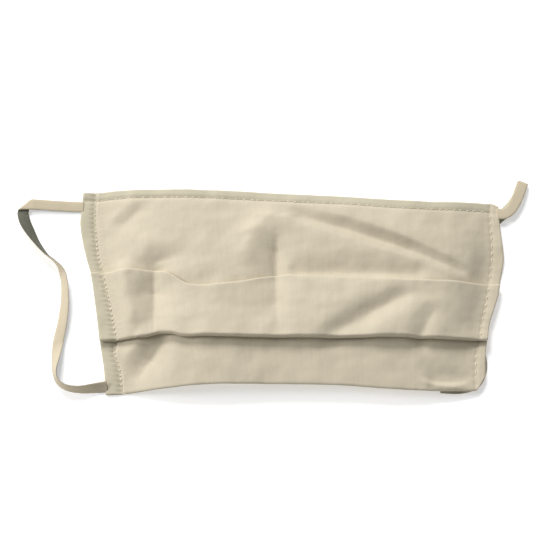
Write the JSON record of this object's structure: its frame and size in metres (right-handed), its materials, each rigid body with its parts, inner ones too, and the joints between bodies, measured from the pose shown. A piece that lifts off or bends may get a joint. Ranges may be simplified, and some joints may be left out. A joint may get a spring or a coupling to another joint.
{
  "type": "cloth face mask",
  "caption": "Pleated cotton cloth face mask with one raised box pleat, stitched margins and two flat elastic ear loops, lying face up.",
  "frame": {"origin": "centre of the cloth's footprint, at the level of the table that the mask lies on", "axes": "+X along the long side, +Y towards the upper (nose) edge, +Z away from the table, out of the face side"},
  "size_m": [0.2258, 0.0994, 0.0139],
  "materials": {
    "panel_cloth": "matt unbleached cotton",
    "hem_cloth": "matt unbleached cotton, stitched",
    "elastic": "ribbed flat elastic"
  },
  "bodies": {
    "root": {"pleated_panel": "panel_cloth", "top_hem": "hem_cloth", "left_side_hem": "hem_cloth", "right_side_hem": "hem_cloth", "left_ear_loop": "elastic", "right_ear_loop": "elastic"}
  },
  "joints": []
}
